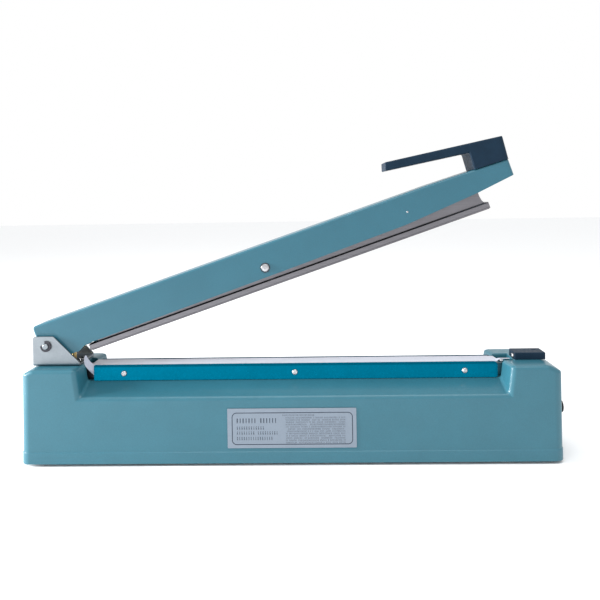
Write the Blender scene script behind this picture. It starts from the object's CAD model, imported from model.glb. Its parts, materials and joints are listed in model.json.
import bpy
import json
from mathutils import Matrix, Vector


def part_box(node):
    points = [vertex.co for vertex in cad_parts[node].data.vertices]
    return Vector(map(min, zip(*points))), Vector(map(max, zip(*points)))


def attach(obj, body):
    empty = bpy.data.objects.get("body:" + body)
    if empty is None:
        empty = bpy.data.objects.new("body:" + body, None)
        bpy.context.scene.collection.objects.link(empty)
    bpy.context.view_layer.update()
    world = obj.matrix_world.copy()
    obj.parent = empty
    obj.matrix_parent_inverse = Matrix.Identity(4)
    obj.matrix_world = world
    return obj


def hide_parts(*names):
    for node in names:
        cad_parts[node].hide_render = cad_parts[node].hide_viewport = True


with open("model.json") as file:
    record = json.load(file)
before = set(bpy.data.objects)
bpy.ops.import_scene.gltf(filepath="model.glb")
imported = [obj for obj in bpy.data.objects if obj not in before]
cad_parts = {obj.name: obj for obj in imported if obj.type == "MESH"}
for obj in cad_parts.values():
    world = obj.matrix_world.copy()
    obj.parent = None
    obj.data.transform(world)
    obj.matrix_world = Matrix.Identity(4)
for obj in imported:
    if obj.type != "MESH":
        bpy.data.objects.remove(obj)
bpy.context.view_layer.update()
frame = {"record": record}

import json
from math import atan2, cos, hypot, pi, radians, sin

import bmesh
import bpy
from mathutils import Matrix, Vector

scene = bpy.context.scene

# places taken from the frame
castLow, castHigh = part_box("base_housing")
middle = Vector(((castLow.x + castHigh.x) / 2, (castLow.y + castHigh.y) / 2, 0.0))
joints = {joint["name"]: joint for joint in frame["record"]["behaviour"]["joints"]}
pivot = Vector(joints["arm_hinge"]["pos_m"])
alongArm = Vector(joints["bar_rock"]["pos_m"]) - pivot
openAngle = atan2(alongArm.z, alongArm.x)
atBase = Matrix.Translation(middle)
atArm = Matrix.Translation(pivot) @ Matrix.Rotation(-openAngle, 4, "Y")

# camera, floor, light
camera = {"x": 0.0279, "away": 0.640, "z": 0.2716, "yaw": -1.27, "roll": -0.89, "lens": 38.23, "shift": -0.174}
stage = {"floor": (0.93, 0.94, 0.95), "sky": 1.0, "left": 58.0, "top": 8.0}


def setCamera():
    data = bpy.data.cameras.new("camera")
    data.lens = camera["lens"]
    data.sensor_width = 36.0
    data.shift_y = camera["shift"]
    data.clip_start = 0.02
    view = bpy.data.objects.new("camera", data)
    scene.collection.objects.link(view)
    yaw = radians(camera["yaw"])
    ahead = Vector((sin(yaw), cos(yaw), 0.0))
    side = Vector((cos(yaw), -sin(yaw), 0.0))
    roll = radians(camera["roll"])
    right = side * cos(roll) + Vector((0, 0, 1)) * sin(roll)
    up = Vector((0, 0, 1)) * cos(roll) - side * sin(roll)
    turn = Matrix((right, up, -ahead)).transposed().to_4x4()
    spot = Vector((middle.x + camera["x"], castLow.y - camera["away"], camera["z"]))
    view.matrix_world = Matrix.Translation(spot) @ turn
    scene.camera = view


def softBox(name, power, size, spot, target):
    data = bpy.data.lights.new(name, "AREA")
    data.shape = "RECTANGLE"
    data.size, data.size_y = size
    data.energy = power
    lamp = bpy.data.objects.new(name, data)
    lamp.location = spot
    lamp.rotation_euler = (Vector(target) - Vector(spot)).to_track_quat("-Z", "Y").to_euler()
    scene.collection.objects.link(lamp)


def setStage():
    bpy.ops.mesh.primitive_plane_add(size=12.0)
    floor = bpy.context.object
    floor.name = "floor"
    paper = bpy.data.materials.new("floor")
    paper.use_nodes = True
    shader = paper.node_tree.nodes["Principled BSDF"]
    shader.inputs["Base Color"].default_value = (*stage["floor"], 1.0)
    shader.inputs["Roughness"].default_value = 0.9
    shader.inputs["Specular IOR Level"].default_value = 0.1
    floor.data.materials.append(paper)
    world = bpy.data.worlds.new("studio")
    world.use_nodes = True
    world.node_tree.nodes["Background"].inputs["Color"].default_value = (1.0, 1.0, 1.0, 1.0)
    world.node_tree.nodes["Background"].inputs["Strength"].default_value = stage["sky"]
    scene.world = world
    softBox("left_box", stage["left"], (0.45, 0.4), (-1.60, -0.20, 0.40), (0.0, 0.0, 0.10))
    softBox("top_box", stage["top"], (1.2, 0.5), (0.1, -0.55, 1.4), (0.0, 0.0, 0.10))
    scene.view_settings.view_transform = "Standard"


setCamera()
setStage()
print("stage set")

# finishes


class Finish:
    # a Principled material whose colour, roughness and relief come from layered patterns on Object coordinates
    def __init__(self, name, colour, roughness, metallic=0.0, coat=0.0, sheen=0.0, shine=0.5, uvMap=None):
        self.made = bpy.data.materials.new(name)
        self.made.use_nodes = True
        self.nodes = self.made.node_tree.nodes
        self.links = self.made.node_tree.links
        self.shader = self.nodes["Principled BSDF"]
        self.shader.inputs["Metallic"].default_value = metallic
        self.shader.inputs["Coat Weight"].default_value = coat
        self.shader.inputs["Coat Roughness"].default_value = 0.12
        self.shader.inputs["Sheen Weight"].default_value = sheen
        self.shader.inputs["Specular IOR Level"].default_value = shine
        if uvMap:
            self.place = self.add("ShaderNodeUVMap")
            self.place.uv_map = uvMap
            self.spot = self.place.outputs["UV"]
        else:
            self.place = self.add("ShaderNodeTexCoord")
            self.spot = self.place.outputs["Object"]
        self.colour = self.add("ShaderNodeRGB")
        self.colour.outputs[0].default_value = (*colour, 1.0)
        self.tint = self.colour.outputs[0]
        self.rough = None
        self.roughness = roughness
        self.normal = None

    def add(self, kind, **inputs):
        node = self.nodes.new(kind)
        for socket, value in inputs.items():
            node.inputs[socket.replace("_", " ")].default_value = value
        return node

    def noise(self, size, detail=3.0, stretch=(1, 1, 1), turn=(0, 0, 0), rough=0.55):
        mapping = self.add("ShaderNodeMapping", Scale=stretch, Rotation=turn)
        self.links.new(self.spot, mapping.inputs["Vector"])
        cloud = self.add("ShaderNodeTexNoise", Scale=1.0 / size, Detail=detail, Roughness=rough)
        self.links.new(mapping.outputs["Vector"], cloud.inputs["Vector"])
        return cloud.outputs["Fac"]

    def span(self, fac, low, high, fromLow=0.3, fromHigh=0.7):
        ranged = self.add("ShaderNodeMapRange")
        for socket, value in zip(("From Min", "From Max", "To Min", "To Max"), (fromLow, fromHigh, low, high)):
            ranged.inputs[socket].default_value = value
        self.links.new(fac, ranged.inputs["Value"])
        return ranged.outputs["Result"]

    def mix(self, fac, other, amount=1.0, blend="MIX"):
        # lays another colour over the present one where fac is high
        mixer = self.nodes.new("ShaderNodeMix")
        mixer.data_type = "RGBA"
        mixer.blend_type = blend
        scaled = self.span(fac, 0.0, amount, 0.0, 1.0)
        self.links.new(scaled, mixer.inputs[0])
        self.links.new(self.tint, mixer.inputs[6])
        mixer.inputs[7].default_value = (*other, 1.0)
        self.tint = mixer.outputs[2]
        return self

    def mottle(self, size, dark, light, **pattern):
        # cloudy change of shade: dark and light are factors on the colour
        cloud = self.span(self.noise(size, **pattern), dark, light)
        scale = self.nodes.new("ShaderNodeVectorMath")
        scale.operation = "SCALE"
        self.links.new(self.tint, scale.inputs[0])
        self.links.new(cloud, scale.inputs["Scale"])
        self.tint = scale.outputs["Vector"]
        return self

    def polish(self, size, low, high, **pattern):
        self.rough = self.span(self.noise(size, **pattern), low, high)
        return self

    def relief(self, fac, depth, strength=1.0):
        bump = self.add("ShaderNodeBump", Strength=strength, Distance=depth)
        self.links.new(fac, bump.inputs["Height"])
        if self.normal:
            self.links.new(self.normal, bump.inputs["Normal"])
        self.normal = bump.outputs["Normal"]
        return self

    def done(self):
        self.links.new(self.tint, self.shader.inputs["Base Color"])
        if self.rough:
            self.links.new(self.rough, self.shader.inputs["Roughness"])
        else:
            self.shader.inputs["Roughness"].default_value = self.roughness
        if self.normal:
            self.links.new(self.normal, self.shader.inputs["Normal"])
        return self.made


def hammerPaint(name, colour):
    # stove enamel with a fine hammered skin and a little flake
    paint = Finish(name, colour, 0.4, coat=0.12, shine=0.45)
    paint.mottle(0.035, 0.96, 1.04, detail=4.0)
    paint.mottle(0.0012, 0.95, 1.05, detail=2.0)
    paint.polish(0.004, 0.30, 0.44)
    paint.relief(paint.noise(0.0022, detail=1.0), 0.00012, 0.35)
    paint.relief(paint.noise(0.0007, detail=2.0), 0.00004, 0.30)
    return paint.done()


def smoothPaint(name, colour):
    paint = Finish(name, colour, 0.3, 1.0)
    paint.mottle(0.02, 0.95, 1.05)
    paint.polish(0.003, 0.24, 0.36)
    paint.relief(paint.noise(0.006, detail=1.0), 0.00005, 0.2)
    return paint.done()


def platedSteel(name, colour, low, high, spangle=0.05):
    metal = Finish(name, colour, 0.35, 1.0)
    metal.mottle(0.008, 1.0 - spangle, 1.0 + spangle, detail=5.0)
    metal.polish(0.0015, low, high, detail=4.0)
    metal.relief(metal.noise(0.0009), 0.00002, 0.4)
    return metal.done()


def drawnMetal(name, colour, low, high, turn=(0, 0, 0)):
    # die lines run along the piece
    metal = Finish(name, colour, 0.35, 1.0)
    lines = metal.noise(0.0006, detail=3.0, stretch=(0.012, 1, 1), turn=turn)
    metal.mottle(0.0009, 0.90, 1.08, detail=3.0, stretch=(0.010, 1, 1), turn=turn)
    metal.mottle(0.03, 0.95, 1.05)
    metal.rough = metal.span(lines, low, high)
    metal.relief(lines, 0.00003, 0.5)
    return metal.done()


def mouldedPlastic(name, colour, low=0.35, high=0.5, grain=0.0006, depth=0.00004):
    plastic = Finish(name, colour, 0.42, shine=0.12)
    plastic.mottle(0.012, 0.90, 1.12)
    plastic.polish(0.003, low, high)
    plastic.relief(plastic.noise(grain, detail=2.0), depth, 0.5)
    return plastic.done()


def rubberSkin(name, colour):
    skin = Finish(name, colour, 0.75)
    skin.mottle(0.006, 0.85, 1.2)
    skin.polish(0.002, 0.62, 0.85)
    skin.relief(skin.noise(0.0008), 0.00005, 0.5)
    return skin.done()


def wovenCloth(name, colour, thread, uvMap="cloth"):
    # a plain weave under a thin clear film, woven in the piece's own flat metres
    cloth = Finish(name, colour, 0.5, coat=0.3, sheen=0.15, uvMap=uvMap)
    warp = cloth.add("ShaderNodeTexWave", Scale=1.0 / thread, Distortion=0.15, Detail=1.0)
    weft = cloth.add("ShaderNodeTexWave", Scale=1.0 / thread, Distortion=0.15, Detail=1.0)
    warp.bands_direction = "X"
    weft.bands_direction = "Y"
    for wave in (warp, weft):
        cloth.links.new(cloth.spot, wave.inputs["Vector"])
    both = cloth.nodes.new("ShaderNodeMath")
    both.operation = "MULTIPLY"
    cloth.links.new(warp.outputs["Fac"], both.inputs[0])
    cloth.links.new(weft.outputs["Fac"], both.inputs[1])
    cloth.mix(both.outputs[0], tuple(part * 0.8 for part in colour), 0.5)
    cloth.mottle(0.012, 0.94, 1.05, detail=4.0)
    cloth.mottle(0.004, 0.97, 1.03, stretch=(0.1, 1, 1))
    cloth.polish(0.006, 0.40, 0.58)
    cloth.relief(both.outputs[0], 0.00003, 0.5)
    cloth.relief(cloth.noise(0.009, detail=2.0, stretch=(0.4, 1, 1)), 0.0004, 0.35)
    return cloth.done()


finishes = {
    "paint": hammerPaint("blue_hammer_paint", (0.026, 0.130, 0.177)),
    "armPaint": hammerPaint("arm_hammer_paint", (0.023, 0.113, 0.159)),
    "teal": smoothPaint("teal_strip", (0.000, 0.122, 0.205)),
    "tealLip": smoothPaint("teal_lip", (0.000, 0.108, 0.182)),
    "zinc": platedSteel("zinc_plate", (0.27, 0.30, 0.326), 0.36, 0.52),
    "bright": platedSteel("bright_plate", (0.52, 0.52, 0.54), 0.18, 0.32),
    "dark": platedSteel("black_oxide", (0.06, 0.06, 0.07), 0.35, 0.5),
    "aluminium": drawnMetal("mill_aluminium", (0.215, 0.21, 0.228), 0.28, 0.48),
    "brass": drawnMetal("brass", (0.56, 0.41, 0.17), 0.25, 0.42),
    "ribbon": drawnMetal("nichrome", (0.36, 0.33, 0.31), 0.30, 0.45),
    "copper": drawnMetal("enamelled_copper", (0.42, 0.13, 0.05), 0.25, 0.4),
    "navy": mouldedPlastic("navy_plastic", (0.007, 0.021, 0.040), 0.40, 0.55),
    "black": mouldedPlastic("black_plastic", (0.012, 0.012, 0.014)),
    "phenolic": mouldedPlastic("phenolic", (0.10, 0.075, 0.06)),
    "rubber": rubberSkin("rubber", (0.020, 0.020, 0.022)),
    "silicone": rubberSkin("silicone", (0.085, 0.060, 0.065)),
    "ptfe": wovenCloth("ptfe_cloth", (0.40, 0.425, 0.51), 0.0009),
    "tape": rubberSkin("glass_tape", (0.55, 0.49, 0.37)),
    "board": mouldedPlastic("circuit_board", (0.02, 0.12, 0.05)),
    "label": platedSteel("label_foil", (0.252, 0.296, 0.352), 0.40, 0.55, 0.02),
    "ink": mouldedPlastic("label_ink", (0.035, 0.045, 0.065)),
    "white": mouldedPlastic("dial_ink", (0.75, 0.76, 0.76)),
}
lens = Finish("lamp_lens", (0.60, 0.02, 0.02), 0.15, coat=0.5)
lens.mottle(0.002, 0.8, 1.1)
lens.relief(lens.noise(0.0012), 0.0001, 0.4)
finishes["lens"] = lens.done()
print("finishes mixed")

# ways of making


def keep(piece, body, stands=()):
    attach(piece, body)
    if stands:
        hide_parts(*stands)
    return piece


def link(name, mesh, finish=None):
    piece = bpy.data.objects.new(name, mesh)
    scene.collection.objects.link(piece)
    return coated(piece, finish) if finish else piece


def coated(piece, finish):
    piece.data.materials.clear()
    piece.data.materials.append(finishes[finish])
    return piece


def fromBmesh(name, shape, finish=None):
    mesh = bpy.data.meshes.new(name)
    shape.to_mesh(mesh)
    shape.free()
    return link(name, mesh, finish)


def drop(*tools):
    for tool in tools:
        bpy.data.objects.remove(tool, do_unlink=True)


def settled(piece):
    # what the modifiers make becomes the piece's own mesh
    graph = bpy.context.evaluated_depsgraph_get()
    mesh = bpy.data.meshes.new_from_object(piece.evaluated_get(graph))
    piece.modifiers.clear()
    piece.data = mesh
    return piece


def block(name, low, high, finish=None):
    shape = bmesh.new()
    size = [b - a for a, b in zip(low, high)]
    centre = Vector([(a + b) / 2 for a, b in zip(low, high)])
    bmesh.ops.create_cube(shape, size=1.0, matrix=Matrix.Translation(centre) @ Matrix.Diagonal((*size, 1.0)))
    return fromBmesh(name, shape, finish)


def slab(name, outline, near, far, finish=None):
    # an outline in X and Z between two depths
    shape = bmesh.new()
    face = shape.faces.new([shape.verts.new((x, near, z)) for x, z in outline])
    beyond = bmesh.ops.extrude_face_region(shape, geom=[face])["geom"]
    bmesh.ops.translate(shape, verts=[v for v in beyond if isinstance(v, bmesh.types.BMVert)], vec=(0, far - near, 0))
    bmesh.ops.recalc_face_normals(shape, faces=shape.faces[:])
    return fromBmesh(name, shape, finish)


def turned(name, profile, spot, axis="Z", steps=48, finish=None):
    # (radius, distance) pairs from the start outwards, closed on the axis
    shape = bmesh.new()
    line = [shape.verts.new((radius, 0.0, along)) for radius, along in profile]
    edges = [shape.edges.new(pair) for pair in zip(line, line[1:])]
    bmesh.ops.spin(shape, geom=line + edges, axis=(0, 0, 1), cent=(0, 0, 0), steps=steps, angle=2 * pi)
    bmesh.ops.remove_doubles(shape, verts=shape.verts[:], dist=0.000002)
    bmesh.ops.recalc_face_normals(shape, faces=shape.faces[:])
    turn = {
        "X": Matrix.Rotation(pi / 2, 4, "Y"),
        "Y": Matrix.Rotation(-pi / 2, 4, "X"),
        "Z": Matrix.Identity(4),
        "-X": Matrix.Rotation(-pi / 2, 4, "Y"),
        "-Y": Matrix.Rotation(pi / 2, 4, "X"),
        "-Z": Matrix.Rotation(pi, 4, "X"),
    }[axis]
    bmesh.ops.transform(shape, verts=shape.verts[:], matrix=Matrix.Translation(spot) @ turn)
    return fromBmesh(name, shape, finish)


def combine(piece, tool):
    # takes the tool out of the piece
    change = piece.modifiers.new("join", "BOOLEAN")
    change.object = tool
    change.operation = "DIFFERENCE"
    change.solver = "EXACT"
    settled(piece)
    drop(tool)
    return piece


def bored(piece, radius, reach, spot, axis, steps):
    rod = turned("bore", [(0, 0), (radius, 0), (radius, reach), (0, reach)], spot, axis, steps)
    return combine(piece, rod)


def reworked(piece, change):
    # change(shape) works on the piece's mesh as a bmesh
    shape = bmesh.new()
    shape.from_mesh(piece.data)
    change(shape)
    shape.to_mesh(piece.data)
    shape.free()
    return piece


def cleaned(piece, angle=0.4):
    def change(shape):
        bmesh.ops.remove_doubles(shape, verts=shape.verts[:], dist=0.00001)
        bmesh.ops.dissolve_limit(shape, angle_limit=radians(angle), verts=shape.verts[:], edges=shape.edges[:])

    return reworked(piece, change)


def eased(piece, radius, segments=5, clamp=True):
    # rounds each edge by radius(end, end); 0 keeps it sharp
    mesh = piece.data
    spots = [vertex.co for vertex in mesh.vertices]
    wanted = [radius(*(spots[at] for at in edge.vertices)) for edge in mesh.edges]
    widest = max(wanted)
    weights = mesh.attributes.new("bevel_weight_edge", "FLOAT", "EDGE")
    weights.data.foreach_set("value", [value / widest for value in wanted])
    bevel = piece.modifiers.new("ease", "BEVEL")
    bevel.limit_method = "WEIGHT"
    bevel.width = widest
    bevel.segments = segments
    bevel.use_clamp_overlap = clamp
    bevel.miter_outer = "MITER_SHARP"
    return settled(piece)


def soften(piece, width, segments=2, angle=30.0):
    bevel = piece.modifiers.new("soften", "BEVEL")
    bevel.limit_method = "ANGLE"
    bevel.angle_limit = radians(angle)
    bevel.width = width
    bevel.segments = segments
    bevel.use_clamp_overlap = True
    return settled(piece)


def shaded(piece, angle=35.0, weighted=True):
    piece.data.shade_smooth()
    piece.data.set_sharp_from_angle(angle=radians(angle))
    if weighted:
        even = piece.modifiers.new("even", "WEIGHTED_NORMAL")
        even.keep_sharp = True
        settled(piece)
    return piece


def moved(piece, place):
    piece.data.transform(place)
    return piece


def finished(piece, body, stands=(), angle=35.0, weighted=True):
    # shades a piece, sets it in its place and hands it over
    place = atArm if body in ("arm", "press_bar") else atBase
    return keep(moved(shaded(piece, angle, weighted), place), body, stands)


# node trees for what repeats


def newTree(name, inputs):
    tree = bpy.data.node_groups.new(name, "GeometryNodeTree")
    tree.interface.new_socket("Geometry", in_out="INPUT", socket_type="NodeSocketGeometry")
    for label, kind in inputs:
        tree.interface.new_socket(label, in_out="INPUT", socket_type="NodeSocket" + kind)
    tree.interface.new_socket("Geometry", in_out="OUTPUT", socket_type="NodeSocketGeometry")
    source = tree.nodes.new("NodeGroupInput")
    result = tree.nodes.new("NodeGroupOutput")
    return tree, source.outputs, result


def node(tree, kind, links=(), **settings):
    # a node given as a value stands for its first output
    made = tree.nodes.new(kind)
    for key, value in settings.items():
        setattr(made, key, value)
    for socket, value in links:
        target = made.inputs[socket]
        if isinstance(value, bpy.types.Node):
            value = value.outputs[0]
        if isinstance(value, bpy.types.NodeSocket):
            tree.links.new(value, target)
        else:
            target.default_value = value
    return made


def endTree(tree, result, geometry, finish):
    real = node(tree, "GeometryNodeRealizeInstances", [("Geometry", geometry)])
    painted = node(tree, "GeometryNodeSetMaterial", [("Geometry", real), ("Material", finish)])
    tree.links.new(painted.outputs[0], result.inputs[0])


def grow(name, tree, values, start=None):
    # runs a tree and returns its result as a plain mesh object
    piece = link(name, start or bpy.data.meshes.new(name))
    maker = piece.modifiers.new("maker", "NODES")
    maker.node_group = tree
    for item in tree.interface.items_tree:
        if item.in_out == "INPUT" and item.name in values:
            maker[item.identifier] = values[item.name]
    piece.update_tag()
    return settled(piece)


def screwTree():
    # one head on every point, its dome along "facing", as wide as "size"
    tree, given, result = newTree("screwField", [("Head", "Object"), ("Finish", "Material"), ("Seed", "Int")])
    head = node(tree, "GeometryNodeObjectInfo", [("Object", given["Head"])])
    facing = node(tree, "GeometryNodeInputNamedAttribute", [("Name", "facing")], data_type="FLOAT_VECTOR")
    size = node(tree, "GeometryNodeInputNamedAttribute", [("Name", "size")], data_type="FLOAT")
    spin = node(tree, "FunctionNodeRandomValue", [(3, 3.1), ("Seed", given["Seed"])], data_type="FLOAT")
    twist = node(tree, "ShaderNodeCombineXYZ", [("Z", spin.outputs[1])])
    aimed = node(tree, "FunctionNodeAlignRotationToVector", [("Vector", facing)], axis="Z")
    local = node(tree, "FunctionNodeEulerToRotation", [("Euler", twist)])
    turn = node(tree, "FunctionNodeRotateRotation", [("Rotation", aimed), ("Rotate By", local)])
    turn.rotation_space = "LOCAL"
    heads = node(tree, "GeometryNodeInstanceOnPoints", [
        ("Points", given["Geometry"]),
        ("Instance", head.outputs["Geometry"]),
        ("Rotation", turn),
        ("Scale", size),
    ])
    endTree(tree, result, heads.outputs[0], given["Finish"])
    return tree


def ringTree():
    # ribs or ticks set evenly round an axis along Z, from one angle to another
    tree, given, result = newTree("ringOfRibs", [
        ("Count", "Int"), ("Radius", "Float"), ("From", "Float"), ("To", "Float"),
        ("Long", "Float"), ("Wide", "Float"), ("Deep", "Float"), ("Lift", "Float"), ("Finish", "Material"),
    ])
    line = node(tree, "GeometryNodeMeshLine", [("Count", given["Count"]), ("Offset", (0, 0, 0))])
    index = node(tree, "GeometryNodeInputIndex")
    last = node(tree, "ShaderNodeMath", [(0, given["Count"]), (1, 1.0)], operation="SUBTRACT")
    share = node(tree, "ShaderNodeMath", [(0, index), (1, last)], operation="DIVIDE")
    angle = node(tree, "ShaderNodeMapRange", [
        ("Value", share), ("To Min", given["From"]), ("To Max", given["To"]),
    ])
    across = node(tree, "ShaderNodeMath", [(0, angle)], operation="COSINE")
    along = node(tree, "ShaderNodeMath", [(0, angle)], operation="SINE")
    flat = node(tree, "ShaderNodeCombineXYZ", [("X", across), ("Y", along)])
    out = node(tree, "ShaderNodeVectorMath", [(0, flat), ("Scale", given["Radius"])],
               operation="SCALE")
    lift = node(tree, "ShaderNodeCombineXYZ", [("Z", given["Lift"])])
    spot = node(tree, "ShaderNodeVectorMath", [(0, out), (1, lift)])
    spots = node(tree, "GeometryNodeSetPosition", [("Geometry", line), ("Position", spot)])
    size = node(tree, "ShaderNodeCombineXYZ", [
        ("X", given["Deep"]), ("Y", given["Wide"]), ("Z", given["Long"]),
    ])
    rib = node(tree, "GeometryNodeMeshCube", [("Size", size)])
    turn = node(tree, "ShaderNodeCombineXYZ", [("Z", angle)])
    ribs = node(tree, "GeometryNodeInstanceOnPoints", [
        ("Points", spots), ("Instance", rib), ("Rotation", turn),
    ])
    endTree(tree, result, ribs.outputs[0], given["Finish"])
    return tree


def sweepTree():
    # an open or closed profile, given as edges in the XY plane, drawn along X
    tree, given, result = newTree("drawnLength", [
        ("From", "Float"), ("To", "Float"), ("Finish", "Material"),
    ])
    start = node(tree, "ShaderNodeCombineXYZ", [("X", given["From"])])
    end = node(tree, "ShaderNodeCombineXYZ", [("X", given["To"])])
    rail = node(tree, "GeometryNodeCurvePrimitiveLine", [("Start", start), ("End", end)])
    profile = node(tree, "GeometryNodeMeshToCurve", [("Mesh", given["Geometry"])])
    drawn = node(tree, "GeometryNodeCurveToMesh", [
        ("Curve", rail), ("Profile Curve", profile), ("Fill Caps", True),
    ])
    endTree(tree, result, drawn.outputs[0], given["Finish"])
    return tree


def coilTree():
    # a wound wire about Z
    tree, given, result = newTree("woundWire", [
        ("Turns", "Float"), ("Radius", "Float"), ("Height", "Float"), ("Wire", "Float"), ("Finish", "Material"),
    ])
    wound = node(tree, "GeometryNodeCurveSpiral", [
        ("Resolution", 40), ("Rotations", given["Turns"]), ("Start Radius", given["Radius"]),
        ("End Radius", given["Radius"]), ("Height", given["Height"]),
    ])
    section = node(tree, "GeometryNodeCurvePrimitiveCircle", [("Resolution", 10), ("Radius", given["Wire"])])
    wire = node(tree, "GeometryNodeCurveToMesh", [
        ("Curve", wound), ("Profile Curve", section), ("Fill Caps", True),
    ])
    smooth = node(tree, "GeometryNodeSetShadeSmooth", [("Geometry", wire)])
    endTree(tree, result, smooth.outputs[0], given["Finish"])
    return tree


def printTree():
    # rows of small marks of uneven width with gaps between words, standing for print
    tree, given, result = newTree("printedRows", [
        ("Rows", "Int"), ("Cells", "Int"), ("Width", "Float"), ("Height", "Float"), ("Letter", "Float"),
        ("Present", "Float"), ("Glyph", "Object"), ("Seed", "Int"), ("Finish", "Material"),
    ])
    grid = node(tree, "GeometryNodeMeshGrid", [
        ("Size X", given["Width"]), ("Size Y", given["Height"]),
        ("Vertices X", given["Cells"]), ("Vertices Y", given["Rows"]),
    ])
    shown = node(tree, "FunctionNodeRandomValue", [
        ("Probability", given["Present"]), ("Seed", given["Seed"]),
    ], data_type="BOOLEAN")
    pitch = node(tree, "ShaderNodeMath", [(0, given["Width"]), (1, given["Cells"])],
                 operation="DIVIDE")
    share = node(tree, "FunctionNodeRandomValue", [(2, 0.55), (3, 0.86), ("Seed", given["Seed"])])
    length = node(tree, "ShaderNodeMath", [(0, pitch), (1, share.outputs[1])], operation="MULTIPLY")
    size = node(tree, "ShaderNodeCombineXYZ", [("X", length), ("Y", given["Letter"]), ("Z", 1.0)])
    glyph = node(tree, "GeometryNodeObjectInfo", [("Object", given["Glyph"])])
    marks = node(tree, "GeometryNodeInstanceOnPoints", [
        ("Points", grid), ("Selection", shown.outputs[3]), ("Instance", glyph.outputs["Geometry"]),
        ("Scale", size),
    ])
    endTree(tree, result, marks.outputs[0], given["Finish"])
    return tree


trees = {"screws": screwTree(), "ring": ringTree(), "sweep": sweepTree(), "coil": coilTree(), "print": printTree()}
print("node trees ready")


def rounded(corners, radius, steps=6):
    # an outline with its corners turned into arcs; radius is one value or one for each corner
    outline = []
    for at, corner in enumerate(corners):
        here = Vector(corner)
        before = (Vector(corners[at - 1]) - here)
        after = (Vector(corners[(at + 1) % len(corners)]) - here)
        size = radius[at] if isinstance(radius, (list, tuple)) else radius
        if size <= 0:
            outline.append(tuple(here))
            continue
        half = before.angle(after) / 2
        reach = size / tangent(half)
        centre = here + (before.normalized() + after.normalized()).normalized() * (size / sin(half))
        first = here + before.normalized() * reach - centre
        last = here + after.normalized() * reach - centre
        begin = atan2(first.y, first.x)
        sweep = (atan2(last.y, last.x) - begin + pi) % (2 * pi) - pi
        for step in range(steps + 1):
            angle = begin + sweep * step / steps
            outline.append((centre.x + size * cos(angle), centre.y + size * sin(angle)))
    return outline


def tangent(angle):
    return sin(angle) / cos(angle)


def joined(name, pieces, finish):
    shape = bmesh.new()
    for piece in pieces:
        shape.from_mesh(piece.data)
    drop(*pieces)
    return fromBmesh(name, shape, finish)


def cutAt(piece, spot, normal):
    def change(shape):
        geometry = shape.verts[:] + shape.edges[:] + shape.faces[:]
        bmesh.ops.bisect_plane(shape, geom=geometry, plane_co=spot, plane_no=normal, dist=0.000001)

    return reworked(piece, change)


# holes that pass through more than one piece
pinHole, plungerHole, plungerSpot = 0.0033, 0.0029, (-0.232, 0, 0.09)

# base casting
casting = {
    "half": (0.2744, 0.0374), "floor": 0.003, "top": castHigh.z, "wall": 0.003,
    "crease": 0.0688, "shelf": 0.0804, "shelfHalf": 0.014, "channel": (-0.2175, 0.2325),
    "notch": (-0.2180, 0.2236), "lean": (0.143, 0.128), "taper": (0.132, 0.139),
    "corner": 0.0095, "brow": 0.0040, "flats": (-0.2640, 0.2620), "drops": (0.0055, 0.0070), "lobe": 0.0046,
    "creaseRound": 0.0030,
    "rim": (0.0110, 0.0006),
}


def notchTool(lower=0.0, wider=0.0):
    halfY = casting["half"][1]
    slope = (casting["shelf"] - casting["crease"]) / (halfY - casting["shelfHalf"])
    reach = halfY + 0.01
    apron = casting["shelf"] - slope * (reach - casting["shelfHalf"])
    section = [(-reach, apron), (-casting["shelfHalf"], casting["shelf"]), (casting["shelfHalf"], casting["shelf"]),
               (reach, apron), (reach, 0.13), (-reach, 0.13)]
    shape = bmesh.new()
    rings = []
    for side, sign in ((0, 1), (1, -1)):
        ring = []
        for y, z in section:
            inward = (y + halfY) * casting["taper"][side] + (casting["top"] - z) * casting["lean"][side]
            ring.append(shape.verts.new((casting["notch"][side] + sign * (inward - wider), y, z - lower)))
        rings.append(ring)
    shape.faces.new(rings[0])
    shape.faces.new(rings[1][::-1])
    for at in range(len(section)):
        after = (at + 1) % len(section)
        shape.faces.new([rings[0][after], rings[0][at], rings[1][at], rings[1][after]])
    bmesh.ops.recalc_face_normals(shape, faces=shape.faces[:])
    return fromBmesh("notch", shape)


def castingEase(a, b):
    halfX, halfY = casting["half"]
    near = 0.0001
    onTop = min(a.z, b.z) > casting["top"] - near
    onFace = min(abs(a.y), abs(b.y)) > halfY - near and a.y * b.y > 0
    level = abs(a.z - b.z) < near
    if max(a.z, b.z) < casting["floor"] + near:
        return 0.0
    if min(abs(a.x), abs(b.x)) > 0.2619:
        if not onFace:
            return 0.0040 if onTop else 0.0028
        return casting["corner"] if abs(a.x - b.x) < near else 0.0050
    if onTop and onFace:
        return casting["brow"]
    if onFace:
        return casting["creaseRound"] if level else casting["lobe"]
    inChannel = max(abs(a.y), abs(b.y)) < casting["shelfHalf"] + near
    if onTop:
        return 0.0010 if inChannel else casting["lobe"]
    if level or inChannel:
        return 0.0
    return 0.0028


def castingOutline(inset):
    # the casting seen from the front: its top slopes down a little at both ends
    halfX, low, top = casting["half"][0] - inset, casting["floor"], casting["top"] - inset
    (leftFlat, rightFlat), (leftDrop, rightDrop) = casting["flats"], casting["drops"]
    return [(-halfX, low - 5 * inset), (halfX, low - 5 * inset), (halfX, top - rightDrop), (rightFlat, top),
            (leftFlat, top), (-halfX, top - leftDrop)]


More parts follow.
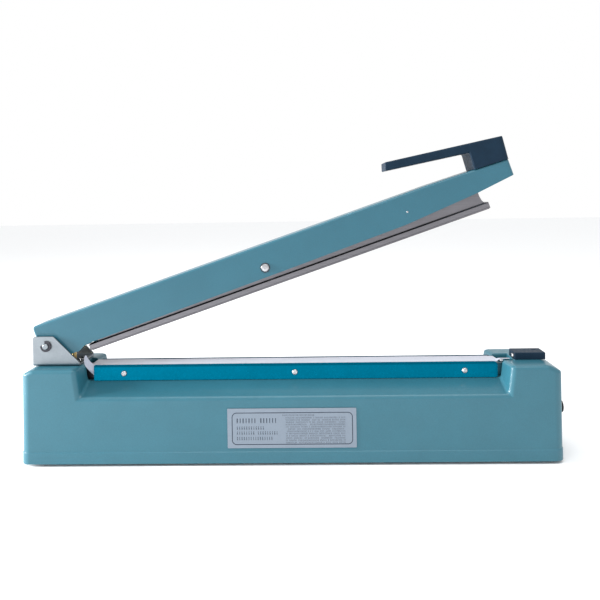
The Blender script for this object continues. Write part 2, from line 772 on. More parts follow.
def castBase():
    halfX, halfY = casting["half"]
    low, top, wall = casting["floor"], casting["top"], casting["wall"]
    body = slab("casting", castingOutline(0.0), -halfY, halfY)
    combine(body, notchTool())
    left, right = casting["channel"]
    half = casting["shelfHalf"]
    combine(body, block("channel", (left, -half, casting["shelf"]), (right, half, 0.13)))
    cleaned(body)
    eased(body, castingEase, 6, False)
    rimTop, proud = casting["rim"]
    for height in (rimTop + low, rimTop + low + proud * 1.2):
        cutAt(body, (0, 0, height), (0, 0, 1))
    inner = (halfX - casting["corner"], halfY - casting["corner"])
    for vertex in body.data.vertices:
        if vertex.co.z < rimTop + low + 0.0001:
            out = [max(0.0, abs(part) - span) * (1 if part > 0 else -1) for part, span in zip(vertex.co.xy, inner)]
            reach = hypot(*out)
            if reach > 0.004:
                vertex.co.x += proud * out[0] / reach
                vertex.co.y += proud * out[1] / reach
    hollow = slab("hollow", castingOutline(wall), wall - halfY, halfY - wall)
    upright = casting["corner"] - wall
    eased(hollow, lambda a, b: upright if abs(a.z - b.z) > 0.05 and abs(a.x - b.x) < 0.0001 else 0.0, 5)
    combine(hollow, notchTool(wall, wall))
    roof = block("roof", (left - wall, -half - wall, casting["shelf"] - wall), (right + wall, half + wall, 0.13))
    combine(hollow, roof)
    combine(body, hollow)
    for node, axis in (("timer_knob", "X"), ("pilot_lamp", "X"), ("cord_gland", "Y"), ("fuse_holder", "Y")):
        lowSpot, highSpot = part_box(node)
        spot = (lowSpot + highSpot) / 2 - middle
        spot.z = (lowSpot.z + highSpot.z) / 2
        start = Vector((halfX - 0.01, spot.y, spot.z)) if axis == "X" else Vector((spot.x, halfY - 0.01, spot.z))
        radius = 0.0063 if axis == "Y" else 0.0043
        bored(body, radius, 0.02, start, axis, 32)
    bored(body, plungerHole, 0.02, plungerSpot, "Z", 24)
    coated(body, "paint")
    finished(body, "base", ["base_housing"])


castBase()
print("casting made")

# heated bed, clamp strips
bed = {"x": (-0.2070, 0.2130), "half": 0.0122, "top": 0.0944, "strip": (-0.2060, 0.2150), "stripZ": (0.0807, 0.0970),
       "inner": 0.0133, "thick": 0.0012, "bend": 0.0945, "lean": 0.34, "screws": (-0.1740, 0.0050, 0.1810),
       "row": 0.0880}


def clampStrips():
    low, high = bed["stripZ"]
    left, right = bed["strip"]
    outline = rounded([(left, low), (right, low), (right, high), (left, high)], [0.0012, 0.0022, 0.0036, 0.0012])
    for side, sign in (("front", -1), ("rear", 1)):
        strip = slab(side + "Strip", outline, bed["inner"], bed["inner"] + bed["thick"])
        cutAt(strip, (0, 0, bed["bend"]), (0, 0, 1))
        cutAt(strip, (0, 0, bed["bend"] + 0.0006), (0, 0, 1))
        for vertex in strip.data.vertices:
            above = max(0.0, vertex.co.z - bed["bend"])
            vertex.co.y = sign * (vertex.co.y - above * bed["lean"] * min(1.0, above / 0.0012))
        reworked(strip, lambda shape: bmesh.ops.recalc_face_normals(shape, faces=shape.faces[:]))
        soften(strip, 0.0002, 2)
        strip.data.materials.append(finishes["teal"])
        strip.data.materials.append(finishes["tealLip"])
        for face in strip.data.polygons:
            face.material_index = 1 if face.center.z > bed["bend"] + 0.0002 else 0
        finished(strip, "base", [side + "_clamp_strip"])


clampStrips()

cloth = {"left": -0.2120, "right": 0.2105, "inside": 0.01275, "top": 0.09635, "hem": 0.0840, "ease": 0.0011,
         "flareAt": -0.2020, "tipAt": 0.2290, "thick": 0.00022}


def clothPath(share):
    # the section over the bed: up the front, across the top, down the rear
    side, top, hem, ease = cloth["inside"], cloth["top"], cloth["hem"], cloth["ease"]
    rise = top - hem
    across = 2 * side
    whole = 2 * rise + across
    along = share * whole
    if along < rise:
        y, z = -side, hem + along
    elif along < rise + across:
        y, z = -side + along - rise, top
    else:
        y, z = side, top - (along - rise - across)
    corner = min(abs(along - rise), abs(along - rise - across))
    if corner < ease:
        pull = (ease - corner) * 0.29
        y -= pull if y > 0 else -pull
        z -= pull
    return Vector((y, z))


def along(points, share):
    # a spot on a row of (share, x, y, z) points
    for (start, *low), (end, *high) in zip(points, points[1:]):
        if share <= end:
            return Vector(low).lerp(Vector(high), (share - start) / (end - start))
    return Vector(points[-1][1:])


def clothSpot(x, share):
    ripple = 0.00010 * sin(x * 61 + share * 5) * sin(x * 23 + 1.3)
    y, z = clothPath(share)
    spot = Vector((x, y, z + ripple * (1 if z > 0.09 else 0)))
    flare = max(0.0, (cloth["flareAt"] - x) / (cloth["flareAt"] - cloth["left"]))
    if flare > 0:
        # the loose front corner stands up beside the press bar's path and hangs in a point
        rim = along([
            (0.00, -0.2066, -0.0142, 0.0893), (0.05, -0.2110, -0.0148, 0.0920), (0.10, -0.2150, -0.0150, 0.0965),
            (0.14, -0.2162, -0.0146, 0.1010), (0.18, -0.2160, -0.0140, 0.1055), (0.21, -0.2145, -0.0136, 0.1085),
            (0.235, -0.2115, -0.0130, 0.1000), (0.26, -0.2100, -0.0125, 0.0962), (0.75, -0.2100, 0.0125, 0.0962),
            (1.00, -0.2100, 0.0130, 0.0850),
        ], share)
        spot = spot.lerp(rim, flare * flare * (3 - 2 * flare))
    taper = max(0.0, (x - cloth["right"]) / (cloth["tipAt"] - cloth["right"]))
    if taper > 0:
        # the far end narrows to a tongue lying on the end block, clear of the press bar
        tip = along([
            (0.00, 0.2270, -0.0098, 0.0984), (0.26, 0.2290, -0.0098, 0.0985), (0.46, 0.2290, -0.0074, 0.0985),
            (0.56, 0.2180, -0.0040, 0.0966), (0.75, 0.2165, 0.0110, 0.0962), (1.00, 0.2160, 0.0125, 0.0900),
        ], share)
        start = Vector((cloth["right"], spot.y, spot.z))
        spot = start.lerp(tip, taper)
        spot.y = start.y + (tip.y - start.y) * min(1.0, taper * 2.2)
        if share < 0.5:
            spot.z = max(start.z, 0.0962) + (tip.z - 0.0962) * min(1.0, max(0.0, taper - 0.24) * 5)
    return spot


def layCloth():
    columns, rows = 260, 56
    shape = bmesh.new()
    left, right = cloth["left"], cloth["tipAt"]
    whole = 2 * (cloth["top"] - cloth["hem"]) + 2 * cloth["inside"]
    xs = [left + (cloth["flareAt"] - left) * at / 40 for at in range(40)]
    xs += [cloth["flareAt"] + (cloth["right"] - cloth["flareAt"]) * at / (columns - 70) for at in range(columns - 70)]
    xs += [cloth["right"] + (right - cloth["right"]) * at / 30 for at in range(31)]
    flat = shape.loops.layers.uv.new("cloth")
    grid = [[shape.verts.new(clothSpot(x, row / rows)) for row in range(rows + 1)] for x in xs]
    for at in range(len(xs) - 1):
        for row in range(rows):
            face = shape.faces.new([grid[at][row], grid[at + 1][row], grid[at + 1][row + 1], grid[at][row + 1]])
            for loop, (column, line) in zip(face.loops, ((at, row), (at + 1, row), (at + 1, row + 1), (at, row + 1))):
                loop[flat].uv = (xs[column], whole * line / rows)
    bmesh.ops.recalc_face_normals(shape, faces=shape.faces[:])
    sheet = fromBmesh("ptfeCloth", shape, "ptfe")
    thicken = sheet.modifiers.new("thickness", "SOLIDIFY")
    thicken.thickness = cloth["thick"]
    thicken.offset = 0.0
    settled(sheet)
    shaded(sheet, 60, False)
    moved(sheet, atBase)
    keep(sheet, "base", ["ptfe_cloth"])


layCloth()
print("bed dressed")

# hinge bracket, pin, spring
bracket = {"x": (-0.2670, -0.2185), "seat": 0.0983, "top": 0.1290, "half": 0.0220, "sheet": 0.0020, "bend": 0.0028}


def hingeBracket():
    left, right = bracket["x"]
    seat, top, half, sheet = bracket["seat"], bracket["top"], bracket["half"], bracket["sheet"]
    corners = [(left, seat), (right, seat), (right, 0.1020), (-0.2455, top), (left, top)]
    body = slab("hingeBracket", rounded(corners, [0.0, 0.0, 0.0012, 0.0025, 0.0025]), -half, half)
    eased(body, lambda a, b: bracket["bend"] if max(a.z, b.z) < seat + 0.0001 and abs(a.y - b.y) < 0.0001 else 0.0, 5)
    low = (left - 0.01, -half + sheet, seat + sheet)
    inside = block("inside", low, (right + 0.01, half - sheet, 0.15))
    floor = seat + sheet + 0.0001
    eased(inside, lambda a, b: 0.0010 if max(a.z, b.z) < floor and abs(a.y - b.y) < 0.0001 else 0.0, 4)
    combine(body, inside)
    eye = pivot - middle
    bored(body, pinHole, 0.08, (eye.x, -0.04, pivot.z), "Y", 40)
    bored(body, plungerHole, 0.02, plungerSpot, "Z", 24)
    cleaned(body)
    soften(body, 0.0003, 2, 50)
    coated(body, "zinc")
    finished(body, "base", ["hinge_bracket"])

    reach = 0.0250
    ends = [(0, 0), (0.0024, 0), (0.0030, 0.0006), (0.0030, 2 * reach - 0.0006), (0.0024, 2 * reach), (0, 2 * reach)]
    pin = turned("hingePin", ends, (eye.x, -reach, pivot.z), "Y", 40, "zinc")
    finished(pin, "base", ["hinge_pin"])
    for side, at in (("front", -0.0235), ("rear", 0.0223)):
        ring = [(0.0032, 0), (0.0054, 0), (0.0056, 0.0002), (0.0056, 0.0009), (0.0054, 0.0011), (0.0032, 0.0011),
                (0.0032, 0)]
        clip = turned("pinClip_" + side, ring, (eye.x, at, pivot.z), "Y", 48, "dark")
        low = (eye.x - 0.0070, at - 0.002, pivot.z + 0.0006)
        mouth = block("mouth", low, (eye.x - 0.0010, at + 0.003, pivot.z + 0.0052))
        combine(clip, mouth)
        coated(clip, "dark")
        finished(clip, "base", ["pin_clip_" + side])

    coil = grow("coil", trees["coil"], {"Turns": 4.5, "Radius": 0.0066, "Height": 0.0086, "Wire": 0.0008,
                                        "Finish": finishes["bright"]})
    moved(coil, Matrix.Translation((eye.x, -0.0043, pivot.z)) @ Matrix.Rotation(-pi / 2, 4, "X"))
    rod = [(0, 0), (0.0008, 0), (0.0008, 0.0165), (0, 0.0165)]
    leg = turned("leg", rod, (eye.x + 0.0066, 0.0043, 0.1025), "Z", 10)
    spring = joined("returnSpring", [coil, leg], "bright")
    finished(spring, "base", ["return_spring"], angle=40, weighted=False)


hingeBracket()
print("hinge made")

# arm, handle, press bar
arm = {"half": 0.0180, "sheet": 0.0016, "left": -0.0095, "right": 0.5165, "top": 0.0213, "barPivot": alongArm.length}


def armEase(a, b):
    near = 0.0001
    top = min(a.z, b.z) > arm["top"] - near
    leftEnd = max(a.x, b.x) < arm["left"] + near
    rightEnd = min(a.x, b.x) > arm["right"] - near
    crosswise = abs(a.y - b.y) > 0.001
    if rightEnd and not crosswise:
        return 0.0040
    if top and rightEnd:
        return 0.0014
    if top and leftEnd:
        return 0.0026
    if leftEnd and not crosswise:
        return 0.0022
    return 0.0022 if top and not crosswise else 0.0


def makeArm():
    half, sheet = arm["half"], arm["sheet"]
    outline = [(-0.0095, -0.0080), (0.0040, -0.0165), (0.0300, -0.0165), (0.0360, -0.0130), (0.0450, -0.0120),
               (0.2770, -0.0094), (0.3950, -0.0074), (0.4750, -0.0012), (0.5165, 0.0040), (0.5165, 0.0214),
               (0.4800, 0.0224), (0.4300, 0.0235), (-0.0095, 0.0235)]
    outline = rounded(outline, [0, 0.004, 0.006, 0.006, 0.03, 0.05, 0.05, 0.02, 0, 0, 0, 0, 0], 4)
    body = slab("armChannel", outline, -half, half)
    cleaned(body, 0.05)
    eased(body, armEase, 6, False)
    outline = [(arm["left"] + sheet, -0.05), (arm["right"] - sheet, -0.05), (arm["right"] - sheet, 0.0214 - sheet),
               (0.4800, 0.0224 - sheet), (0.4300, 0.0235 - sheet), (arm["left"] + sheet, 0.0235 - sheet)]
    inner = slab("inner", outline, sheet - half, half - sheet)
    eased(inner, lambda a, b: 0.0016 if min(a.z, b.z) > 0 and abs(a.y - b.y) < 0.0001 else 0.0, 3)
    combine(body, inner)
    for x in (0.0, arm["barPivot"]):
        bored(body, pinHole, 0.08, (x, -0.04, 0), "Y", 40)
    coated(body, "armPaint")
    finished(body, "arm", ["arm_channel"])


handle = {"half": 0.0190, "seat": 0.0226}


def handleEase(a, b):
    if max(a.z, b.z) < handle["seat"]:
        return 0.0004
    if max(a.x, b.x) < 0.3970:
        return 0.0010
    return 0.0045 if min(a.x, b.x) > 0.5160 and abs(a.y - b.y) < 0.001 else 0.0016


def makeHandle():
    corners = [(0.4795, 0.0225), (0.5168, 0.0213), (0.5188, 0.0456), (0.3956, 0.0608), (0.3930, 0.0522),
               (0.4805, 0.0407)]
    body = slab("gripHandle", corners, -handle["half"], handle["half"])
    eased(body, handleEase, 5)
    body.data.materials.append(finishes["navy"])
    finished(body, "arm", ["grip_handle"], angle=50)


bar = {"ends": (0.0380, 0.4835), "web": (0.0480, 0.4775), "flange": 0.0105, "low": -0.0210, "high": -0.0145}


def drawn(name, profile, start, end, finish):
    # sweeps a closed (y, z) profile along X
    shape = bmesh.new()
    ring = [shape.verts.new((-y, -z, 0.0)) for y, z in profile]
    for pair in zip(ring, ring[1:] + ring[:1]):
        shape.edges.new(pair)
    mesh = bpy.data.meshes.new(name)
    shape.to_mesh(mesh)
    shape.free()

    def change(shape):
        bmesh.ops.remove_doubles(shape, verts=shape.verts[:], dist=0.000001)
        bmesh.ops.recalc_face_normals(shape, faces=shape.faces[:])

    piece = grow(name, trees["sweep"], {"From": start, "To": end, "Finish": finishes[finish]}, mesh)
    return reworked(piece, change)


def makeBar():
    half, low, high = bar["flange"], bar["low"], bar["high"]
    side = [(0.0063, low), (half - 0.0003, low), (half, low + 0.0003), (half, low + 0.0010),
            (half - 0.0002, low + 0.0012), (half, low + 0.0014), (half, high - 0.0008), (half - 0.0008, high),
            (0.0076, high), (0.0070, high + 0.0006), (0.0070, 0.0060), (0.0056, 0.0060), (0.0056, high + 0.0016)]
    profile = [(0.0063, low + 0.0012)] + side
    profile += [(-y, z) for y, z in reversed(profile)]
    body = drawn("pressBar", profile, *bar["ends"], "aluminium")
    leftWeb, rightWeb = bar["web"]
    outline = [(rightWeb, 0.02), (rightWeb, -0.0060), (rightWeb + 0.0010, -0.0110),
               (rightWeb + 0.0030, high + 0.0001), (0.50, high + 0.0001), (0.50, 0.02)]
    combine(body, slab("endCut", outline, -0.02, 0.02))
    outline = [(0.02, high + 0.0001), (leftWeb - 0.0010, high + 0.0001), (leftWeb, high + 0.0012),
               (leftWeb, 0.02), (0.02, 0.02)]
    combine(body, slab("startCut", outline, -0.02, 0.02))
    bored(body, 0.0034, 0.04, (arm["barPivot"], -0.02, 0), "Y", 32)
    coated(body, "aluminium")
    finished(body, "press_bar", ["press_bar"], angle=30)

    pad = [(0.0060, -0.0200), (0.0060, -0.0213), (0.0052, -0.0219), (0.0030, -0.0222), (0.0, -0.0223)]
    pad += [(-y, z) for y, z in reversed(pad[:-1])]
    strip = drawn("siliconeStrip", pad, *bar["ends"], "silicone")
    finished(strip, "press_bar", ["silicone_strip"], angle=30)


def armFittings():
    spot = arm["barPivot"]
    half = arm["half"]
    washer = turned("pivotWasher", [(0.0032, 0), (0.0050, 0), (0.0050, 0.0006), (0.0032, 0.0006), (0.0032, 0)],
                    (spot, -half, 0), "-Y", 40, "dark")
    finished(washer, "arm")
    head = [(0, -2 * half - 0.0030), (0.0026, -2 * half - 0.0030), (0.0030, -2 * half - 0.0026), (0.0030, 0.0006),
            (0.0040, 0.0006), (0.0041, 0.0012), (0.0034, 0.0020), (0.0016, 0.0024), (0, 0.0024)]
    screw = turned("barPivotScrew", head, (spot, -half, 0), "-Y", 40)
    bored(screw, 0.0014, 0.002, (spot, -half - 0.0016, 0), "-Y", 6)
    coated(screw, "bright")
    finished(screw, "arm", ["bar_pivot_screw"], angle=30)
    nut = turned("barPivotNut", [(0.0032, 0), (0.0048, 0), (0.0055, 0.0004), (0.0055, 0.0024), (0.0048, 0.0028),
                                 (0.0032, 0.0028), (0.0032, 0)], (spot, half, 0), "Y", 6, "bright")
    finished(nut, "arm", ["bar_pivot_nut"], angle=30)


makeArm()
makeHandle()
makeBar()
armFittings()
print("arm made")


# bed, tapes, terminals, screws
def screwHead(name, radius, height, recess=0.30):
    # a pan head on Z with a cross recess; one is made and set out by the screw tree
    profile = [(0, -0.0006), (0.6 * radius, -0.0006), (0.6 * radius, 0), (radius, 0), (radius, 0.30 * height),
               (0.93 * radius, 0.62 * height), (0.75 * radius, 0.88 * height), (0.45 * radius, height), (0, height)]
    head = turned(name, profile, (0, 0, 0), "Z", 24)
    deep, wide, length = 0.55 * height, 0.13 * radius, recess * 2 * radius
    for size in ((length, wide), (wide, length)):
        low = (-size[0], -size[1], height - deep)
        combine(head, block("slot", low, (size[0], size[1], height + 0.001)))
    cleaned(head, 0.1)
    return shaded(head, 30)


def screwsAt(name, body, head, spots, stands, finish="bright", place=atBase, seed=3):
    # one mesh for all the screws of one body; spots holds (place, facing, size)
    mesh = bpy.data.meshes.new(name)
    mesh.from_pydata([place @ Vector(spot) for spot, facing, size in spots], [], [])
    mesh.attributes.new("facing", "FLOAT_VECTOR", "POINT")
    mesh.attributes.new("size", "FLOAT", "POINT")
    for at, (spot, facing, size) in enumerate(spots):
        mesh.attributes["facing"].data[at].vector = place.to_3x3() @ Vector(facing)
        mesh.attributes["size"].data[at].value = size
    piece = grow(name, trees["screws"], {"Head": head, "Finish": finishes[finish], "Seed": seed}, mesh)
    keep(shaded(piece, 30, False), body, stands)
    drop(head)
    return piece


def dressBed():
    left, right = bed["x"]
    core = block("heaterBed", (left, -bed["half"], 0.0807), (right, bed["half"], bed["top"]), "phenolic")
    soften(core, 0.0006, 3)
    finished(core, "base", ["heater_bed"])
    tape = [(0.0060, bed["top"] + 0.0003), (0.0060, bed["top"] + 0.0005), (0.0057, bed["top"] + 0.0006)]
    tape += [(-y, z) for y, z in reversed(tape)]
    strip = drawn("insulationTape", tape, left, right, "tape")
    finished(strip, "base", ["insulation_strip"])
    ribbon = [(0.0020, 0.0953), (0.0020, 0.0955), (-0.0020, 0.0955), (-0.0020, 0.0953)]
    strip = drawn("heatingRibbon", ribbon, left, right, "ribbon")
    finished(strip, "base", ["heating_element"])
    for side, low, high, coat in (("left", -0.2165, -0.2085, "dark"), ("right", 0.2160, 0.2290, "paint")):
        post = block(side + "Terminal", (low, -0.0070, 0.0807), (high, 0.0070, 0.0935), coat)
        soften(post, 0.0007, 3)
        finished(post, "base", [side + "_terminal"])
    rows = []
    for x in bed["screws"]:
        for side in (-1, 1):
            rows.append(((x, side * 0.0146, bed["row"]), (0, side, 0), 1.0))
    names = [side + "_strip_screw_" + str(at) for at in (1, 2, 3) for side in ("front", "rear")]
    screwsAt("stripScrews", "base", screwHead("stripHead", 0.0030, 0.0018), rows, names)
    rows = [((-0.2125, 0, 0.0937), (0, 0, 1), 1.0), ((0.2225, 0, 0.0937), (0, 0, 1), 1.0)]
    screwsAt("terminalScrews", "base", screwHead("terminalHead", 0.0030, 0.0020), rows,
             ["left_terminal_screw", "right_terminal_screw"], seed=5)
    rows = [((-0.2620, 0, 0.1004), (0, 0, 1), 1.0), ((-0.2230, 0, 0.1004), (0, 0, 1), 1.0)]
    screwsAt("bracketScrews", "base", screwHead("bracketHead", 0.0032, 0.0018), rows,
             ["bracket_screw_left", "bracket_screw_right"], seed=8)


def terminalCover():
    low, high = (0.2330, -0.0130, 0.0983), (0.2650, 0.0070, 0.1053)
    cover = block("terminalCover", low, high)

    def ease(a, b):
        if max(a.z, b.z) < low[2] + 0.0001:
            return 0.0
        return 0.0012 if abs(a.z - b.z) > 0.001 else 0.0009

    eased(cover, ease, 4)
    combine(cover, block("slot", (0.2550, 0.0008, 0.1030), (0.2600, 0.0032, 0.12)))
    combine(cover, block("recess", (0.22, -0.0112, 0.0986), (0.2338, -0.0048, 0.1040)))
    coated(cover, "navy")
    finished(cover, "base", ["terminal_cover"], angle=40)
    screwsAt("coverScrew", "base", screwHead("coverHead", 0.0027, 0.0016),
             [((0.2327, -0.0080, 0.1012), (-1, 0, 0), 1.0)], ["cover_screw"], seed=2)


dressBed()
terminalCover()
print("terminals made")

# rating plate
plate = {"x": (-0.0630, 0.0668), "z": (0.0182, 0.0581), "front": -0.0381, "sheet": 0.0003, "line": 0.0008}


def glyph(name, bars):
    # a one-by-one mark made of bars, as thick as a film of ink
    pieces = [block("bar", (x, y, 0.0), (x + wide, y + high, 0.00004)) for x, y, wide, high in bars]
    return joined(name, pieces, "ink")


def rows(mark, centre, size, lines, cells, letter, present, seed):
    # rows of print laid on the plate's face
    values = {"Rows": lines, "Cells": cells, "Width": size[0], "Height": size[1], "Letter": letter,
              "Present": present, "Glyph": mark, "Seed": seed, "Finish": finishes["ink"]}
    place = Matrix.Translation((centre[0], plate["front"] + 0.00001, centre[1])) @ Matrix.Rotation(pi / 2, 4, "X")
    return moved(grow("rows", trees["print"], values), place)


def ratingPlate():
    left, right = plate["x"]
    low, high = plate["z"]
    front = plate["front"]
    corners = [(left, low), (right, low), (right, high), (left, high)]
    sheet = slab("ratingPlate", rounded(corners, 0.0009), front, front + plate["sheet"])
    soften(sheet, 0.00008, 2)
    sheet.data.materials.append(finishes["label"])
    finished(sheet, "base", ["rating_label"])
    line = plate["line"]
    edges = (left + 0.0044, low + 0.0033, right - 0.0036, high - 0.0041)
    outer = [(edges[0], edges[1]), (edges[2], edges[1]), (edges[2], edges[3]), (edges[0], edges[3])]
    inner = [(x + (line if x < 0 else -line), z + (line if z < 0.04 else -line)) for x, z in outer]
    border = slab("plateBorder", rounded(outer, 0.0048, 8), front - 0.00003, front + 0.00002)
    combine(border, slab("inside", rounded(inner, 0.0048 - line, 8), front - 0.001, front + 0.001))
    bold = glyph("boldMark", [(-0.27, -0.5, 0.20, 1.0), (0.07, -0.5, 0.20, 1.0), (-0.07, 0.26, 0.14, 0.24),
                              (-0.07, -0.14, 0.14, 0.2)])
    plain = glyph("plainMark", [(-0.27, -0.5, 0.16, 1.0), (-0.11, 0.3, 0.38, 0.2), (0.11, -0.5, 0.16, 0.6),
                                (-0.11, -0.18, 0.22, 0.18)])
    start, fine = left + 0.0100, left + 0.0592
    bars = [border]
    bars.append(rows(bold, (start + 0.0193, high - 0.0124), (0.0386, 0), 1, 14, 0.0048, 0.93, 4))
    for at, (down, wide, cells) in enumerate(((0.0199, 0.0286, 13), (0.0249, 0.0400, 18), (0.0303, 0.0370, 17))):
        bars.append(rows(plain, (start + wide / 2, high - down), (wide, 0), 1, cells, 0.0034, 0.90, 11 + at))
    bars.append(rows(plain, (left + 0.0715, high - 0.0070), (0.0310, 0), 1, 24, 0.0016, 0.95, 21))
    bars.append(rows(plain, (fine + 0.0295, high - 0.0221), (0.0590, 0.0250), 12, 54, 0.0016, 0.88, 31))
    bars.append(rows(plain, (left + 0.0560, high - 0.0221), (0.0000, 0.0250), 12, 1, 0.0014, 0.60, 41))
    drop(bold, plain)
    shape = bmesh.new()
    for piece in bars:
        shape.from_mesh(piece.data)
    drop(*bars)
    printed = fromBmesh("platePrint", shape, "ink")
    keep(moved(printed, atBase), "base")


ratingPlate()
print("plate made")

# timer end: knob, dial, lamp
timer = {"face": 0.2744, "y": 0.0020, "z": 0.0450, "lamp": 0.0220}


def timerEnd():
    face, y, z = timer["face"], timer["y"], timer["z"]
    spot = (face + 0.0009, y, z)
    profile = [(0.0034, 0.0090), (0.0034, 0), (0.0093, 0), (0.0095, 0.0002), (0.0095, 0.0009), (0.0092, 0.0013),
               (0.0078, 0.0022), (0.0074, 0.0030), (0.0067, 0.0098), (0.0063, 0.0107), (0.0058, 0.0110),
               (0.0046, 0.0110), (0.0044, 0.0107), (0, 0.0107)]
    knob = turned("timerKnob", profile + [(0, 0.0090), (0.0034, 0.0090)], spot, "X", 64)
    ribs = grow("knobRibs", trees["ring"], {"Count": 25, "Radius": 0.0069, "From": 0.0, "To": 2 * pi * 24 / 25,
                                            "Long": 0.0058, "Wide": 0.0007, "Deep": 0.0011, "Lift": 0.0062,
                                            "Finish": finishes["black"]})
    moved(ribs, Matrix.Translation(spot) @ Matrix.Rotation(pi / 2, 4, "Y"))
    mark = block("pointer", (spot[0] + 0.0100, y - 0.0004, z + 0.0008), (spot[0] + 0.01098, y + 0.0004, z + 0.0060))
    body = joined("timerKnob", [knob, ribs], "black")
    finished(body, "timer_knob", ["timer_knob"], angle=30, weighted=False)
    mark.data.materials.append(finishes["white"])
    keep(moved(mark, atBase), "timer_knob")

    plateEdge = [(0.0098, 0), (0.0165, 0), (0.0167, 0.0002), (0.0166, 0.0004), (0.0098, 0.0004), (0.0098, 0)]
    disc = turned("dialDisc", plateEdge, (face + 0.0001, y, z), "X", 64, "label")
    finished(disc, "base", angle=30)
    ticks = grow("dialTicks", trees["ring"], {
        "Count": 17, "Radius": 0.0113, "From": radians(-150), "To": radians(150), "Long": 0.00006, "Wide": 0.0003,
        "Deep": 0.0016, "Lift": 0.0, "Finish": finishes["ink"],
    })
    turn = Matrix.Translation((face + 0.0005, y, z)) @ Matrix.Rotation(pi / 2, 4, "Y") @ Matrix.Rotation(pi, 4, "Z")
    moved(ticks, turn)
    pieces = [ticks]
    for number in range(9):
        text = bpy.data.curves.new("digit", "FONT")
        text.body = str(number)
        text.size = 0.0028
        text.align_x = "CENTER"
        text.align_y = "CENTER"
        text.extrude = 0.00003
        text.resolution_u = 3
        writer = bpy.data.objects.new("digit", text)
        scene.collection.objects.link(writer)
        graph = bpy.context.evaluated_depsgraph_get()
        mesh = bpy.data.meshes.new_from_object(writer.evaluated_get(graph))
        drop(writer)
        digit = link("digit", mesh)
        angle = radians(-150 + 300 * number / 8)
        upright = Matrix(((0, 0, 1), (1, 0, 0), (0, 1, 0))).to_4x4()
        place = Vector((face + 0.0005, y + 0.0142 * sin(angle), z + 0.0142 * cos(angle)))
        pieces.append(moved(digit, Matrix.Translation(place) @ upright))
    marks = joined("dialMarks", pieces, "ink")
    keep(moved(marks, atBase), "base")

    bezel = [(0.0040, 0.0023), (0.0055, 0.0023), (0.0057, 0.0025), (0.0057, 0.0034), (0.0053, 0.0038),
             (0.0046, 0.0038), (0.0044, 0.0034), (0.0040, 0.0034), (0.0040, 0.0023)]
    ring = turned("lampBezel", bezel, (face - 0.0020, timer["lamp"], z), "X", 40, "bright")
    dome = [(0, -0.0080), (0.0039, -0.0080), (0.0039, 0.0036), (0.0043, 0.0040), (0.0042, 0.0052), (0.0036, 0.0068),
            (0.0022, 0.0078), (0, 0.0081)]
    glass = turned("pilotLamp", dome, (face - 0.0020, timer["lamp"], z), "X", 40, "lens")
    finished(glass, "base", ["pilot_lamp"], angle=40)
    finished(ring, "base", angle=40)


timerEnd()
print("timer end made")

# rear and underside
def rearFittings():
    rear = 0.0377
    sleeve = [(0.0035, -0.0100), (0.0060, -0.0100), (0.0060, 0), (0.0080, 0), (0.0080, 0.0016), (0.0072, 0.0022)]
    for at in range(3):
        start = 0.0022 + at * 0.0018
        sleeve += [(0.0063, start + 0.0001), (0.0063, start + 0.0008), (0.0070 - 0.0003 * at, start + 0.0010),
                   (0.0070 - 0.0003 * at, start + 0.0017)]
    sleeve += [(0.0060, 0.0077), (0.0038, 0.0077), (0.0035, 0.0072), (0.0035, -0.0100)]
    gland = turned("cordGland", sleeve, (0.2000, rear, 0.0280), "Y", 48, "rubber")
    finished(gland, "base", ["cord_gland"], angle=35, weighted=False)
    cap = [(0, -0.0180), (0.0060, -0.0180), (0.0060, 0), (0.0080, 0), (0.0080, 0.0012), (0.0076, 0.0020),
           (0.0060, 0.0021), (0.0056, 0.0066), (0.0052, 0.0070), (0, 0.0070)]
    fuse = turned("fuseHolder", cap, (0.1500, rear, 0.0280), "Y", 48)
    combine(fuse, block("slot", (0.1460, rear + 0.0058, 0.0275), (0.1540, rear + 0.01, 0.0285)))
    ribs = grow("fuseRibs", trees["ring"], {"Count": 19, "Radius": 0.0057, "From": 0.0, "To": 2 * pi * 18 / 19,
                                            "Long": 0.0040, "Wide": 0.0005, "Deep": 0.0008, "Lift": 0.0044,
                                            "Finish": finishes["black"]})
    moved(ribs, Matrix.Translation((0.1500, rear, 0.0280)) @ Matrix.Rotation(-pi / 2, 4, "X"))
    body = joined("fuseHolder", [fuse, ribs], "black")
    finished(body, "base", ["fuse_holder"], angle=35, weighted=False)


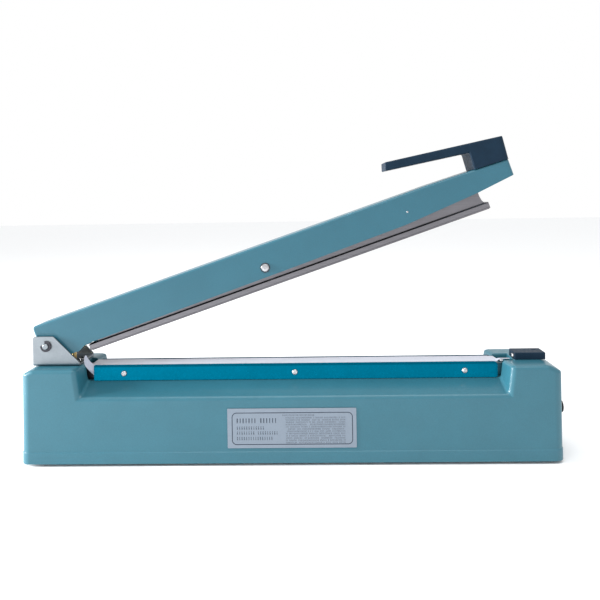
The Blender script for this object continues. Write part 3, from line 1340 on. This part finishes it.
def underside():
    halfX, halfY = 0.2709, 0.0339
    corners = [(-halfX, -halfY), (halfX, -halfY), (halfX, halfY), (-halfX, halfY)]
    plate = slab("bottomPlate", rounded(corners, 0.0065, 6), 0.0, 0.0012)
    moved(plate, Matrix.Translation((0, 0, 0.0048)) @ Matrix.Rotation(-pi / 2, 4, "X"))
    for run in (-0.118, 0.160):
        for at in range(9):
            x = run + (at - 4) * 0.008
            slot = block("vent", (x - 0.0015, -0.0130, 0.0), (x + 0.0015, 0.0130, 0.01))
            soften(slot, 0.0014, 3, 60)
            combine(plate, slot)
    coated(plate, "zinc")
    finished(plate, "base", ["bottom_plate"], angle=30)
    feet, spots = [], []
    for end, x in (("left", -0.2540), ("right", 0.2540)):
        for side, y in (("front", -0.0220), ("rear", 0.0220)):
            profile = [(0, 0.0033), (0.0083, 0.0033), (0.0085, 0.0030), (0.0077, 0.0004), (0.0072, 0), (0.0044, 0),
                       (0.0040, 0.0004), (0.0036, 0.0018), (0, 0.0018)]
            foot = turned("foot", profile, (x, y, 0.0), "Z", 40)
            feet.append(foot)
            spots.append(((x, y, 0.0018), (0, 0, -1), 1.0))
    body = joined("rubberFeet", feet, "rubber")
    names = ["foot_" + end + "_" + side for end in ("left", "right") for side in ("front", "rear")]
    finished(body, "base", names, angle=35, weighted=False)
    screwsAt("footScrews", "base", screwHead("footHead", 0.0030, 0.0012), spots, [], seed=14)


rearFittings()
underside()
print("rear and underside made")

# what stays from the frame gets the finished materials
def dressFrame():
    wanted = {
        "switch_plunger": "brass", "micro_switch": "black", "transformer_core": "dark", "transformer_coil": "copper",
        "board_rail_front": "black", "board_rail_rear": "black", "timer_board": "board", "timer_relay": "black",
        "timer_capacitor": "dark", "potentiometer": "zinc", "arm_bush": "dark", "switch_striker": "zinc",
        "handle_screw_1": "bright", "handle_screw_2": "bright", "arm_rivet": "bright",
    }
    for name, finish in wanted.items():
        node = bpy.data.objects.get(name)
        if node:
            for slot in node.material_slots:
                slot.material = finishes[finish]


dressFrame()
